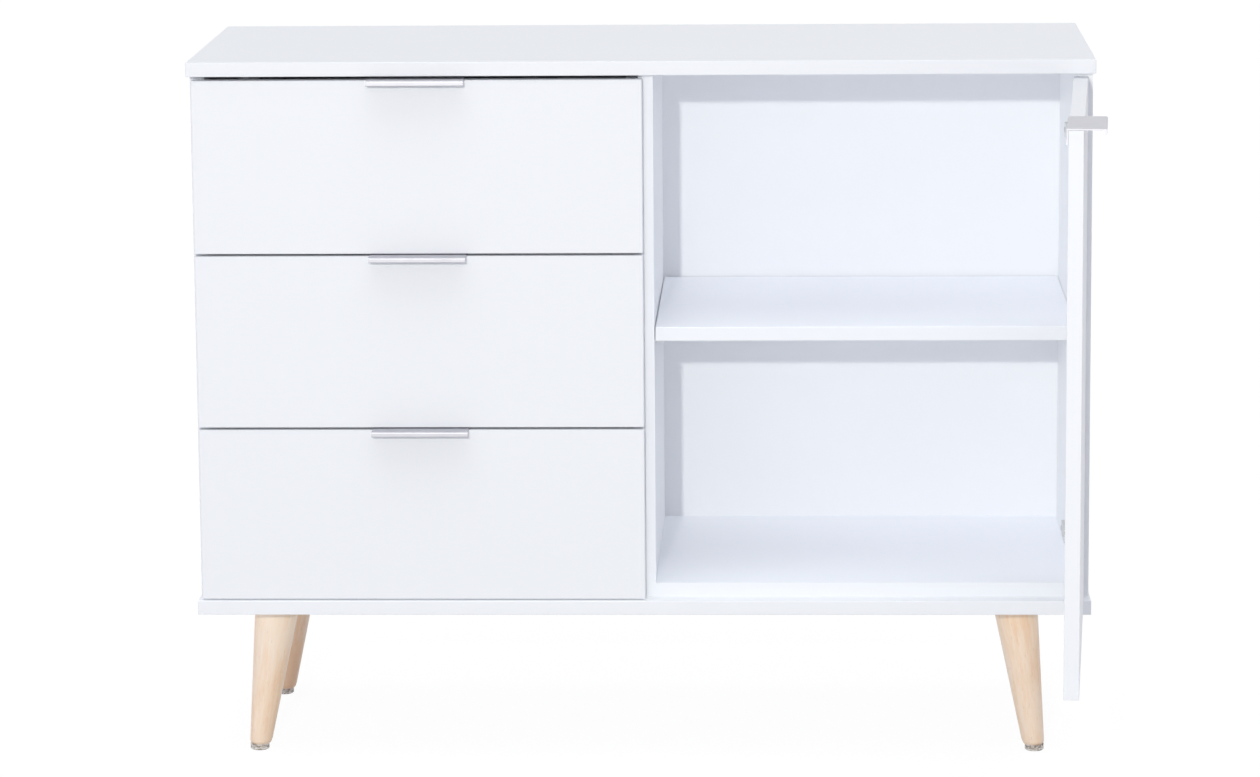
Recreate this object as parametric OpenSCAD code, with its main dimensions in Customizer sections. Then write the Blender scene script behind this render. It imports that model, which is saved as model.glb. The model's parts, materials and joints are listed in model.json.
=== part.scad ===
// Sideboard with three drawers on the left and a cupboard with one door on the right.
// X runs to the right, Y to the back, Z up. The floor is Z = 0 and the fronts face -Y.
// The origin lies under the middle of the box that holds the sideboard with its door open.

/* [Overall] */
// Width of the top and of the base board
top_w = 1000; // [860:1:1300]
// Depth of the top and of the base board
top_d = 400; // [390:1:480]
// Height from the floor to the upper face of the top
overall_h = 793; // [740:1:950]
// Height of the base board's underside above the floor
leg_h = 171; // [120:1:220]
// Thickness of the white boards
board_t = 16; // [15.5:0.5:19]
// Radius of the eased edges of the top, base board, shelf and fronts
edge_r = 1; // [0.3:0.1:2]
// Y of the front edge of the top
top_front_y = 36; // [0:1:60]

/* [Carcass] */
// Reach of the top and base board past each side
side_overhang = 2; // [0:0.5:15]
// Reach of the top and base board past the drawer fronts
front_overhang = 3; // [0:0.5:15]
// Reach of the top and base board past the back panel
rear_overhang = 3; // [0:0.5:15]
// Thickness of the back panel
back_t = 3; // [2.5:0.5:5]
// Gap between the carcass's front edges and the rear of the fronts
front_gap = 4; // [4:0.25:5]
// X of the middle of the divider
divider_x = 6; // [-60:1:60]
// Height of the shelf's upper face above the cupboard floor
shelf_rise = 290.5; // [150:0.5:420]
// Gap between each shelf end and its wall
shelf_end_gap = 1; // [0.5:0.1:1.5]
// Distance of the shelf's front edge behind the carcass front
shelf_setback = 1.5; // [0:0.5:30]
// Gap between the shelf and the back panel
shelf_back_gap = 2; // [0.5:0.5:20]
// Distance of the shelf pins from the shelf's front and rear edges
pin_inset = 40; // [20:1:90]
// Radius of the stem of a shelf pin
pin_r = 2.5; // [2:0.25:3]

/* [Fronts] */
// Gap between the top and the fronts below it
top_gap = 4.5; // [3:0.25:8]
// Gap between the base board and the fronts above it
bottom_gap = 1.5; // [1:0.25:5]
// Gap between one drawer front and the next
front_spacing = 2.5; // [2.25:0.25:6]
// Overlap of the drawer fronts on the divider
drawer_overlap = 4.5; // [1:0.5:8]
// Gap between the drawer fronts and the closed door
middle_gap = 3; // [2.5:0.25:6]
// Distance of the fronts' outer edges from the outer faces of the sides
front_reveal = 3; // [2:0.25:4]

/* [Door] */
// Angle at which the door stands open
door_rest_angle = 86.1; // [60:0.1:95]
// Distance of the hinge axis from the door's hinge edge
hinge_edge = 9.2; // [8.9:0.1:9.3]
// Depth of the hinge axis in the door, from its rear face
hinge_depth = 10; // [9.9:0.1:10.5]
// Distance of a hinge's middle from the door's upper or lower edge
hinge_inset = 66; // [50:1:120]
// Rim of board left between the hinge cup and the door's edge
cup_tab = 3; // [2.8:0.1:3.4]
// Outer radius of the hinge cup
cup_r = 17.5; // [17:0.1:18]
// Depth of the hinge cup in the door
cup_depth = 13.5; // [13.3:0.1:14]
// Radius of the hinge pin
hinge_pin_r = 1.2; // [1:0.05:1.3]

/* [Handles] */
// Length of a handle
handle_len = 107; // [60:1:200]
// Reach of a handle in front of the front's face
handle_reach = 23; // [15:0.5:35]
// Thickness of the handle's plate
handle_t = 1.5; // [1:0.1:1.75]
// Height of the handle's front lip, with the plate
lip_h = 6; // [5.8:0.1:12]
// Thickness of the handle's front lip
lip_t = 2.2; // [1.5:0.1:4]
// Height of the flange behind the front, below the plate
flange_h = 15; // [13:0.5:20]
// Distance of a handle screw from the handle's end
handle_screw_inset = 27; // [14:1:28]

/* [Drawers] */
// Thickness of the drawer sides and backs
box_t = 12; // [11:0.5:15]
// Height of the drawer sides
box_h = 130; // [90:1:135]
// Height of the drawer box's lower edge above the front's lower edge
box_rise = 28; // [20:1:30]
// Depth of the drawer box
box_d = 350; // [335:1:352]
// Thickness of the drawer bottoms
bottom_t = 3; // [2.5:0.25:4]
// Height of the drawer bottom above the side's lower edge
bottom_rise = 10; // [6:0.5:20]
// Depth of the grooves that hold the drawer bottom
groove_depth = 6; // [4:0.5:8]
// Full travel of a drawer
drawer_travel = 340; // [250:5:345]

/* [Runners] */
// Space that a runner takes between drawer side and cabinet
runner_w = 12.7; // [12.5:0.1:14]
// Height of a runner
runner_h = 45; // [40:1:50]
// Length of each runner rail
runner_len = 350; // [340:1:352]
// Sheet thickness of the rails
rail_t = 1.2; // [1:0.1:1.4]
// Running gap between one rail and the next
rail_gap = 0.4; // [0.3:0.05:0.5]
// Height of a runner's middle above the drawer box's lower edge
runner_rise = 34; // [30:1:45]
// Distance of the cabinet rail behind the carcass front
rail_setback = 2; // [1:0.5:6]

/* [Legs] */
// Distance of a foot's middle from the end of the base board
foot_inset_x = 59; // [45:1:90]
// Distance of a foot's middle from the front or rear edge of the base board
foot_inset_y = 66; // [50:1:100]
// Radius of a leg where it meets the base board
leg_top_r = 25.5; // [20:0.5:28]
// Radius of a leg at the glide
leg_foot_r = 11.7; // [11:0.1:15]
// Angle of a leg from the vertical
leg_tilt = 8.5; // [0:0.5:12]
// Direction in which a leg leans, measured from the X axis
leg_heading = 28; // [0:1:60]
// Height of the rounding above a leg's lower end
foot_round_h = 5; // [2:0.5:8]
// Distance that the rounding draws in a leg's lower end
foot_round_in = 2.1; // [0.5:0.1:2.5]
// Height of a glide
glide_h = 7; // [4:0.5:12]
// Radius of a glide
glide_r = 10.8; // [8:0.1:10.9]
// Radius of a leg's bolt
leg_bolt_r = 4; // [3:0.5:5]

/* [Hidden] */
$fn = 64;

// Clearances between pieces that fit together
bore_gap = 0.05;    // round a pin, screw or cup in its bore, on the radius
slip_gap = 0.2;     // round a drawer bottom in its grooves
seat_gap = 0.3;     // between hardware that lies over other hardware
cut = 1;            // how far a cutting shape runs past the face that it opens

UPPER = 0;
MIDDLE = 1;
LOWER = 2;
SIDES = [-1, 1];

// Colours
white_board = [0.94, 0.95, 0.97];
white_hdf = [0.90, 0.91, 0.93];
pale_beech = [0.91, 0.81, 0.68];
silver = [0.80, 0.80, 0.81];
zinc = [0.72, 0.74, 0.76];
nickel = [0.76, 0.75, 0.73];
grey_plastic = [0.70, 0.69, 0.66];

// Carcass planes
outer_x = top_w / 2 - side_overhang;
inner_x = outer_x - board_t;
top_back_y = top_front_y + top_d;
front_face_y = top_front_y + front_overhang;
front_rear_y = front_face_y + board_t;
carcass_front_y = front_rear_y + front_gap;
back_front_y = top_back_y - rear_overhang - back_t;
base_top_z = leg_h + board_t;
floor_z = base_top_z + board_t;
top_under_z = overall_h - board_t;
divider_left_x = divider_x - board_t / 2;
divider_right_x = divider_x + board_t / 2;
shelf_top_z = floor_z + shelf_rise;
carcass_d = back_front_y - carcass_front_y;

// Fronts
fronts_top_z = top_under_z - top_gap;
fronts_bottom_z = base_top_z + bottom_gap;
front_h = (fronts_top_z - fronts_bottom_z - 2 * front_spacing) / 3;
front_right_x = divider_left_x + drawer_overlap;
front_left_x = -outer_x + front_reveal;
door_left_x = front_right_x + middle_gap;
door_right_x = outer_x - front_reveal;
door_w = door_right_x - door_left_x;
door_h = fronts_top_z - fronts_bottom_z;
function front_z(i) = fronts_top_z - front_h - i * (front_h + front_spacing);

// Drawer boxes
bay_w = divider_left_x + inner_x;
bay_mid_x = (divider_left_x - inner_x) / 2;
box_w = bay_w - 2 * runner_w;
box_inner_w = box_w - 2 * box_t;
front_mid_x = (front_left_x + front_right_x) / 2;
function box_z(i) = front_z(i) + box_rise;
function runner_z(i) = box_z(i) + runner_rise;
rails_y = carcass_front_y + rail_setback;

// Hinges: the axis, and each hinge's middle
axis_x = door_right_x - hinge_edge;
axis_y = front_rear_y - hinge_depth;
hinge_zs = [fronts_bottom_z + hinge_inset, fronts_top_z - hinge_inset];

// ---------------------------------------------------------------- helpers

// A box from its low corner to its high corner
module block(low, high) {
    translate(low) cube(high - low);
}

// A board with eased edges all round, from its low corner to its high corner
module eased_board(low, high) {
    s = high - low;
    translate(low) intersection() {
        linear_extrude(s[2]) round_rect(s[0], s[1], edge_r);
        translate([0, s[1], 0]) rotate([90, 0, 0]) linear_extrude(s[1]) round_rect(s[0], s[2], edge_r);
        rotate([90, 0, 90]) linear_extrude(s[0]) round_rect(s[1], s[2], edge_r);
    }
}

// A cylinder along +Y from its low end
module y_cylinder(r, h) {
    rotate([-90, 0, 0]) cylinder(r = r, h = h);
}

// A cylinder along +X from its low end
module x_cylinder(r, h) {
    rotate([0, 90, 0]) cylinder(r = r, h = h);
}

// A screw at the origin, which holds something of thickness t and goes l deep to -X
screw_r = 2;
head_r = 3.4;
head_h = 1.4;
tip_gap = 0.5;      // between a screw's tip and the end of its bore

module screw(l, t) {
    translate([-l, 0, 0]) x_cylinder(screw_r, l + t + head_h / 2);
    translate([t, 0, 0]) x_cylinder(head_r, head_h);
}

module screw_bore(l) {
    translate([-l - tip_gap, 0, 0]) x_cylinder(screw_r + bore_gap, l + tip_gap + cut);
}

// A rectangle with round corners, from [0, 0]
module round_rect(w, h, r) {
    translate([r, 0]) square([w - 2 * r, h]);
    translate([0, r]) square([w, h - 2 * r]);
    for (x = [r, w - r], y = [r, h - r]) translate([x, y]) circle(r = r);
}

// ---------------------------------------------------------------- carcass

module top_panel() {
    color(white_board)
        eased_board([-top_w / 2, top_front_y, top_under_z], [top_w / 2, top_back_y, overall_h]);
}

insert_r = 6;
insert_depth = 13;

module base_board() {
    color(white_board) difference() {
        eased_board([-top_w / 2, top_front_y, leg_h], [top_w / 2, top_back_y, base_top_z]);
        at_leg_tops() translate([0, 0, -cut]) cylinder(r = insert_r + bore_gap, h = insert_depth + cut);
    }
}

module bottom_panel() {
    color(white_board)
        block([-inner_x, carcass_front_y, base_top_z], [inner_x, back_front_y, floor_z]);
}

cabinet_screw_l = 11;

module left_side() {
    color(white_board) difference() {
        block([-outer_x, carcass_front_y, base_top_z], [-inner_x, back_front_y, top_under_z]);
        rail_screw_bores(cabinet_screw_l);
    }
}

module right_side() {
    color(white_board) difference() {
        block([inner_x, carcass_front_y, base_top_z], [outer_x, back_front_y, top_under_z]);
        at_shelf_pins(right = true) translate([-cut, 0, 0]) x_cylinder(pin_r + bore_gap, pin_depth + cut);
        at_hinges() at_plate_screws() screw_bore(cabinet_screw_l);
    }
}

module divider() {
    color(white_board) difference() {
        block([divider_left_x, carcass_front_y, floor_z], [divider_right_x, back_front_y, top_under_z]);
        at_shelf_pins(left = true) translate([-cut, 0, 0]) x_cylinder(pin_r + bore_gap, pin_depth + cut);
        rail_screw_bores(cabinet_screw_l);
    }
}

// The screws that hold the cabinet rails and the hinges' mounting plates
module cabinet_screws() {
    color(zinc) {
        for (i = [UPPER, MIDDLE, LOWER]) at_runners(i) at_rail_screws() screw(cabinet_screw_l, rail_t);
        at_hinges() at_plate_screws() screw(cabinet_screw_l, plate_wing_t);
    }
}

back_inset = 2;     // from the sides' outer faces

module back_panel() {
    x = outer_x - back_inset;
    color(white_hdf)
        block([-x, back_front_y, base_top_z], [x, back_front_y + back_t, top_under_z]);
}

// ---------------------------------------------------------------- shelf

shelf_left_x = divider_right_x + shelf_end_gap;
shelf_right_x = inner_x - shelf_end_gap;
shelf_front_y = carcass_front_y + shelf_setback;
shelf_back_y = back_front_y - shelf_back_gap;
pin_depth = 8;
pin_end_gap = 0.5;
collar_w = 1;
tongue_l = 9;
tongue_w = 7;
tongue_t = 2;
collar_t = 0.8;

module shelf() {
    color(white_board)
        eased_board([shelf_left_x, shelf_front_y, shelf_top_z - board_t],
            [shelf_right_x, shelf_back_y, shelf_top_z]);
}

// Places its child at each shelf pin with +X pointing into the wall and the wall's face at X = 0.
// The stem's middle lies under the tongue, which carries the shelf.
module at_shelf_pins(left = false, right = false) {
    z = shelf_top_z - board_t - tongue_t - pin_r;
    for (y = [shelf_front_y + pin_inset, shelf_back_y - pin_inset]) {
        if (left) translate([divider_right_x, y, z]) mirror([1, 0, 0]) children();
        if (right) translate([inner_x, y, z]) children();
    }
}

module shelf_pins() {
    color(nickel) at_shelf_pins(left = true, right = true) {
        x_cylinder(pin_r, pin_depth - pin_end_gap);
        translate([-collar_t, 0, 0]) x_cylinder(pin_r + collar_w, collar_t);
        translate([-tongue_l, -tongue_w / 2, pin_r]) cube([tongue_l, tongue_w, tongue_t]);
        translate([-tongue_l, -tongue_t / 2, -pin_r]) cube([tongue_l - collar_t, tongue_t, 2 * pin_r]);
    }
}

// ---------------------------------------------------------------- legs

LEG_SIGNS = [[-1, -1], [1, -1], [-1, 1], [1, 1]];
base_mid_y = top_front_y + top_d / 2;
foot_x = top_w / 2 - foot_inset_x;
foot_y = top_d / 2 - foot_inset_y;
lean = leg_h * tan(leg_tilt);
bolt_in_leg = 30;
bolt_in_board = 12;
stem_r = 2.5;
stem_l = 15;
bore_end_gap = 1;   // between the end of a bolt or stem and the end of its bore

// A leg's foot and its top, on the floor and under the base board
function foot_at(s) = [s[0] * foot_x, base_mid_y + s[1] * foot_y, 0];
function leg_top_at(s) = foot_at(s)
    + [-s[0] * lean * cos(leg_heading), -s[1] * lean * sin(leg_heading), leg_h];

module at_leg_tops() {
    for (s = LEG_SIGNS) translate(leg_top_at(s)) children();
}

module at_feet() {
    for (s = LEG_SIGNS) translate(foot_at(s)) children();
}

// A turned tapered leg that leans outwards, cut level at both ends
module leg(s) {
    length = leg_h / cos(leg_tilt);
    over = leg_top_r * tan(leg_tilt);
    slope = (leg_top_r - leg_foot_r) / length;
    color(pale_beech) difference() {
        intersection() {
            translate(foot_at(s))
                rotate([0, 0, atan2(-s[1] * sin(leg_heading), -s[0] * cos(leg_heading))])
                rotate([0, leg_tilt, 0])
                translate([0, 0, -over])
                cylinder(r1 = leg_foot_r - slope * over, r2 = leg_top_r + slope * over,
                    h = length + 2 * over);
            translate(foot_at(s) + (glide_h + foot_round_h / 2) / leg_h * (leg_top_at(s) - foot_at(s)))
                translate([0, 0, -glide_h - foot_round_h / 2]) foot_bowl(slope);
        }
        translate(leg_top_at(s)) translate([0, 0, -bolt_in_leg - bore_end_gap])
            cylinder(r = leg_bolt_r + bore_gap, h = bolt_in_leg + bore_end_gap + cut);
        translate(foot_at(s)) translate([0, 0, glide_h - cut])
            cylinder(r = stem_r + bore_gap, h = stem_l + bore_end_gap + cut);
    }
}

// What a leg's rounded lower end keeps within: a bowl under a wide drum
module foot_bowl(slope) {
    rim_z = glide_h + foot_round_h;
    rim_r = leg_foot_r + slope * rim_z;
    arc_r = (pow(foot_round_h, 2) + pow(foot_round_in, 2)) / (2 * foot_round_in);
    rotate_extrude() {
        intersection() {
            translate([rim_r - arc_r, rim_z]) circle(r = arc_r);
            translate([rim_r - foot_round_in - slope, glide_h]) square([foot_round_in + slope, foot_round_h]);
        }
        translate([0, glide_h]) square([rim_r - foot_round_in - slope, foot_round_h]);
        translate([0, rim_z]) square([2 * leg_top_r + lean, leg_h - rim_z]);
    }
}

// Bolts that hold the legs: the lower end in the leg, the upper end in the base board's insert
module leg_bolts() {
    color(zinc) at_leg_tops() translate([0, 0, -bolt_in_leg])
        cylinder(r = leg_bolt_r, h = bolt_in_leg + bolt_in_board);
}

module leg_inserts() {
    color(zinc) at_leg_tops() difference() {
        cylinder(r = insert_r, h = insert_depth);
        translate([0, 0, -cut]) cylinder(r = leg_bolt_r + bore_gap, h = insert_depth + 2 * cut);
    }
}

glide_edge = 1.2;   // the chamfer round a glide's lower edge

module leg_glides() {
    color(grey_plastic) at_feet() {
        cylinder(r1 = glide_r - glide_edge, r2 = glide_r, h = glide_edge);
        translate([0, 0, glide_edge]) cylinder(r = glide_r, h = glide_h - glide_edge);
        cylinder(r = stem_r, h = glide_h + stem_l);
    }
}

// ---------------------------------------------------------------- runners

// Each runner is three nested channels: one on the cabinet, one on the drawer, and a carrier
// between them that moves half as far as the drawer.
cabinet_rail_gap = 2.5;     // from the cabinet rail's flanges to the drawer side
carrier_gap = 1.1;          // from the carrier's flanges to the drawer side
cabinet_rail_w = runner_w - cabinet_rail_gap;
carrier_x = rail_t + head_h + 0.8;
carrier_h = runner_h - 2 * (rail_t + rail_gap);
carrier_w = runner_w - carrier_gap - carrier_x;
drawer_rail_h = carrier_h - 2 * (rail_t + rail_gap);
drawer_rail_w = runner_w / 2;
rail_corner = 2;

// The profile of a channel whose web lies at X = 0 and whose flanges point to +X
module channel(w, h) {
    translate([0, -h / 2]) difference() {
        round_rect(w + rail_corner, h, rail_corner);
        translate([rail_t, rail_t]) round_rect(w + rail_corner, h - 2 * rail_t, rail_corner - rail_t / 2);
        translate([w, -cut]) square([rail_corner + cut, h + 2 * cut]);
    }
}

// A rail along +Y from the origin
module rail(w, h) {
    translate([0, runner_len, 0]) rotate([90, 0, 0]) linear_extrude(runner_len) channel(w, h);
}

// A rail with holes through its web for its screws
module drilled_rail(w, h) {
    difference() {
        rail(w, h);
        at_rail_screws() translate([-cut, 0, 0]) x_cylinder(screw_r + bore_gap, rail_t + 2 * cut);
    }
}

module at_rail_screws() {
    for (y = rail_holes) translate([0, y, 0]) children();
}

// Places a rail pair: +X points from the cabinet wall to the drawer on both sides
module at_runners(i) {
    translate([-inner_x, rails_y, runner_z(i)]) children();
    translate([divider_left_x, rails_y, runner_z(i)]) mirror([1, 0, 0]) children();
}

// Places a rail on the drawer's side, with +X pointing back to the cabinet wall
module at_drawer_side(i) {
    at_runners(i) translate([runner_w, 0, 0]) mirror([1, 0, 0]) children();
}

first_rail_hole = 35;
last_rail_hole = runner_len - 59;
rail_holes = [first_rail_hole, (first_rail_hole + last_rail_hole) / 2, last_rail_hole];

module cabinet_rails(i) {
    color(zinc) at_runners(i) drilled_rail(cabinet_rail_w, runner_h);
}

module carrier_rails(i) {
    color(zinc) at_runners(i) translate([carrier_x, 0, 0]) rail(carrier_w, carrier_h);
}

module drawer_rails(i) {
    color(zinc) at_drawer_side(i) drilled_rail(drawer_rail_w, drawer_rail_h);
}

box_screw_cover = 2;        // board left between the screw's end and the drawer's inside
box_screw_l = box_t - box_screw_cover;

module drawer_rail_screws(i) {
    color(zinc) at_drawer_side(i) at_rail_screws() screw(box_screw_l, rail_t);
}

module rail_screw_bores(l) {
    for (i = [UPPER, MIDDLE, LOWER]) at_runners(i) at_rail_screws() screw_bore(l);
}

// ---------------------------------------------------------------- drawers

box_left_x = bay_mid_x - box_w / 2;
box_right_x = bay_mid_x + box_w / 2;
box_back_y = front_rear_y + box_d;
groove_h = bottom_t + slip_gap;

// The slot that the drawer bottom slides into, as wide and as deep as its four grooves
module bottom_groove(i) {
    z = box_z(i) + bottom_rise - slip_gap / 2;
    block([box_left_x + box_t - groove_depth, front_rear_y - groove_depth, z],
        [box_right_x - box_t + groove_depth, box_back_y + cut, z + groove_h]);
}

module drawer_front(i) {
    color(white_board) difference() {
        eased_board([front_left_x, front_face_y, front_z(i)], [front_right_x, front_rear_y, front_z(i) + front_h]);
        bottom_groove(i);
        translate([front_mid_x, front_face_y, front_z(i) + front_h]) handle_screw_bores();
    }
}

module drawer_left_side(i) {
    color(white_board) difference() {
        block([box_left_x, front_rear_y, box_z(i)], [box_left_x + box_t, box_back_y, box_z(i) + box_h]);
        bottom_groove(i);
        at_drawer_side(i) at_rail_screws() screw_bore(box_screw_l);
    }
}

module drawer_right_side(i) {
    color(white_board) difference() {
        block([box_right_x - box_t, front_rear_y, box_z(i)], [box_right_x, box_back_y, box_z(i) + box_h]);
        bottom_groove(i);
        at_drawer_side(i) at_rail_screws() screw_bore(box_screw_l);
    }
}

// The back stands on the drawer bottom, between the sides
module drawer_back(i) {
    color(white_board)
        block([box_left_x + box_t, box_back_y - box_t, box_z(i) + bottom_rise + groove_h - slip_gap / 2],
            [box_right_x - box_t, box_back_y, box_z(i) + box_h]);
}

module drawer_bottom(i) {
    z = box_z(i) + bottom_rise;
    color(white_hdf)
        block([box_left_x + box_t - groove_depth + slip_gap, front_rear_y - groove_depth + slip_gap, z],
            [box_right_x - box_t + groove_depth - slip_gap, box_back_y, z + bottom_t]);
}

// ---------------------------------------------------------------- handles

handle_screw_r = 1.75;
handle_screw_l = 10;
handle_head_r = 3.5;
handle_head_h = 1.6;
lip_round = 1.8;

// The handle's section seen from its right end: X to the rear, Y up, from the front board's
// upper front edge
module handle_section() {
    // the plate over the board's edge
    translate([-handle_reach + lip_round, 0]) square([handle_reach - lip_round + board_t + handle_t, handle_t]);
    // the flange behind the board
    translate([board_t, -flange_h]) square([handle_t, flange_h]);
    // the lip, with a rounded upper front edge and a rounded lower edge
    translate([-handle_reach, handle_t - lip_h + lip_t / 2]) square([lip_t, lip_h - lip_t / 2 - lip_round]);
    translate([-handle_reach + lip_t / 2, handle_t - lip_h + lip_t / 2]) circle(r = lip_t / 2);
    intersection() {
        translate([-handle_reach + lip_round, handle_t - lip_round]) circle(r = lip_round);
        translate([-handle_reach, handle_t - lip_round]) square(lip_round);
    }
    translate([-handle_reach + lip_round, handle_t - lip_round - cut]) square([lip_t - lip_round, lip_round + cut]);
}

// A handle centred on X = 0, on the upper front edge of a front
module handle_bar() {
    difference() {
        translate([-handle_len / 2, 0, 0]) rotate([90, 0, 90]) linear_extrude(handle_len) handle_section();
        at_handle_screws() translate([0, -handle_t - cut, 0])
            y_cylinder(handle_screw_r + bore_gap, handle_t + 2 * cut);
    }
}

// Places its child at each handle screw, on the flange's rear face
module at_handle_screws() {
    for (s = SIDES)
        translate([s * (handle_len / 2 - handle_screw_inset), board_t + handle_t, -flange_h / 2]) children();
}

module handle_screw_bores() {
    at_handle_screws() translate([0, -handle_screw_l - tip_gap, 0])
        y_cylinder(handle_screw_r + bore_gap, handle_screw_l + tip_gap);
}

module handle_screw_pair() {
    at_handle_screws() {
        translate([0, -handle_screw_l, 0]) y_cylinder(handle_screw_r, handle_screw_l + handle_head_h / 2);
        y_cylinder(handle_head_r, handle_head_h);
    }
}

module drawer_handle(i) {
    color(silver) translate([front_mid_x, front_face_y, front_z(i) + front_h]) handle_bar();
}

module drawer_handle_screws(i) {
    color(zinc) translate([front_mid_x, front_face_y, front_z(i) + front_h]) handle_screw_pair();
}

// ---------------------------------------------------------------- door

// Turns what is drawn for the closed door to the angle at which it stands
module swung() {
    translate([axis_x, axis_y, 0]) rotate([0, 0, door_rest_angle])
        translate([-axis_x, -axis_y, 0]) children();
}

door_handle_x = door_left_x + handle_len / 2;

module door_panel() {
    color(white_board) swung() difference() {
        eased_board([door_left_x, front_face_y, fronts_bottom_z], [door_right_x, front_rear_y, fronts_top_z]);
        at_hinges() {
            cup_bore();
            at_cup_screws() cup_screw_bore();
        }
        translate([door_handle_x, front_face_y, fronts_top_z]) handle_screw_bores();
    }
}

module door_handle() {
    color(silver) swung() translate([door_handle_x, front_face_y, fronts_top_z]) handle_bar();
}

module door_handle_screws() {
    color(zinc) swung() translate([door_handle_x, front_face_y, fronts_top_z]) handle_screw_pair();
}

// ---------------------------------------------------------------- hinges

// A hinge is drawn for the closed door. X is the distance from the door's hinge edge towards its
// free edge, Y the distance in front of the door's rear face, and Z = 0 is the hinge's middle.
// The arm ends in a knuckle inside the cup, and turns there on the pin that the cup holds.
cup_wall = 0.8;
cup_x = cup_tab + cup_r;
cup_inner_r = cup_r - cup_wall;
rim_t = 1.2;
rim_side = 1.5;         // from the cup's mouth to the rim plate's long edge
rim_end = 5;            // from a cup screw to the rim plate's end
knuckle_wall = 1;
knuckle_r = hinge_pin_r + knuckle_wall;
nose_w = 8;
ear_gap = 0.6;          // between the arm's nose and each ear
ear_z = nose_w / 2 + ear_gap;
arm_t = 1.6;
arm_w = 16;
arm_wall = 1.4;
arm_corner_r = 3;
nose_reach = 14.5;      // from the pin to the neck
neck_x = hinge_edge + nose_reach;
arm_setback = 4;        // from the carcass front to the arm's channel
arm_len = 58;
arm_front = -front_gap - arm_setback;
arm_back = arm_front - arm_len;
wall_x = board_t - front_reveal;            // the inner face of the side
plate_setback = 37;     // from the carcass front to the line of the plate's screws
plate_y = -front_gap - plate_setback;
plate_screw_z = 16;
plate_wing_t = 2;
plate_wing_w = 18;
plate_wing_end = 6;     // from a plate screw to the wing's end
spine_front_gap = 8;
spine_back_gap = 4;
plate_spine_w = arm_w - 2 * arm_wall - 2 * seat_gap;
cup_screw_z = 24;
cup_screw_setback = 5.5;    // from the cup's middle to the line of its screws
cup_screw_x = cup_x + cup_screw_setback;
cup_screw_r = 1.75;
cup_screw_l = 10;
arm_screw_r = 2.5;
arm_screw_l = 4;        // in the plate's spine
arm_screw_back = 14;    // from the plate's screws to the rear screw of the arm
arm_screw_front = 20;   // and to the front one
arm_screw_ys = [plate_y - arm_screw_back, plate_y + arm_screw_front];

module at_hinges() {
    for (z = hinge_zs) translate([door_right_x, front_rear_y, z]) rotate([0, 0, 180]) children();
}

module cup_bore() {
    translate([cup_x, -cut, 0]) y_cylinder(cup_r + bore_gap, cup_depth + bore_gap + cut);
}

// The cup with its rim plate, and the two ears inside it that hold the pin
module hinge_cup() {
    difference() {
        union() {
            translate([cup_x, 0, 0]) y_cylinder(cup_r, cup_depth);
            intersection() {
                translate([cup_x, -rim_t, 0]) y_cylinder(cup_screw_z + rim_end, rim_t);
                block([cup_tab, -rim_t, -cup_screw_z - rim_end],
                    [cup_x + cup_r + rim_side, 0, cup_screw_z + rim_end]);
            }
        }
        difference() {
            translate([cup_x, -rim_t - cut, 0]) y_cylinder(cup_inner_r, cup_depth + rim_t + cut - cup_wall);
            for (s = SIDES) cup_ear(s);
        }
        translate([hinge_edge, hinge_depth, -cup_r])
            cylinder(r = hinge_pin_r + bore_gap / 2, h = 2 * cup_r);
        at_cup_screws() translate([0, -cut, 0])
            y_cylinder(cup_screw_r + bore_gap, rim_t + 2 * cut);
    }
}

module cup_ear(s) {
    low = hinge_depth - knuckle_r;
    translate([0, 0, s > 0 ? ear_z : -cup_r])
        block([0, low, 0], [hinge_edge + knuckle_r, cup_depth, cup_r - ear_z]);
}

// Places its child at each screw of the cup, on the rim's outer face, with +Y into the door
module at_cup_screws() {
    for (s = SIDES) translate([cup_screw_x, -rim_t, s * cup_screw_z]) children();
}

module cup_screw_bore() {
    y_cylinder(cup_screw_r + bore_gap, cup_screw_l + rim_t + tip_gap);
}

module hinge_cups() {
    color(nickel) swung() at_hinges() hinge_cup();
}

module hinge_cup_screws() {
    color(nickel) swung() at_hinges() at_cup_screws() {
        y_cylinder(cup_screw_r, cup_screw_l + rim_t);
        translate([0, -head_h, 0]) y_cylinder(head_r, head_h);
    }
}

// The pin ends inside the cup's outer wall
pin_half = sqrt(pow(cup_r, 2) - pow(cup_x - hinge_edge + hinge_pin_r, 2)) - seat_gap;

module hinge_pins() {
    color(zinc) swung() at_hinges() translate([hinge_edge, hinge_depth, -pin_half])
        cylinder(r = hinge_pin_r, h = 2 * pin_half);
}

// Raises a shape, drawn with X along Y and Y along Z, from x by t
module on_wall(x, t) {
    translate([x, 0, 0]) rotate([90, 0, 90]) linear_extrude(t) children();
}

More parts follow.
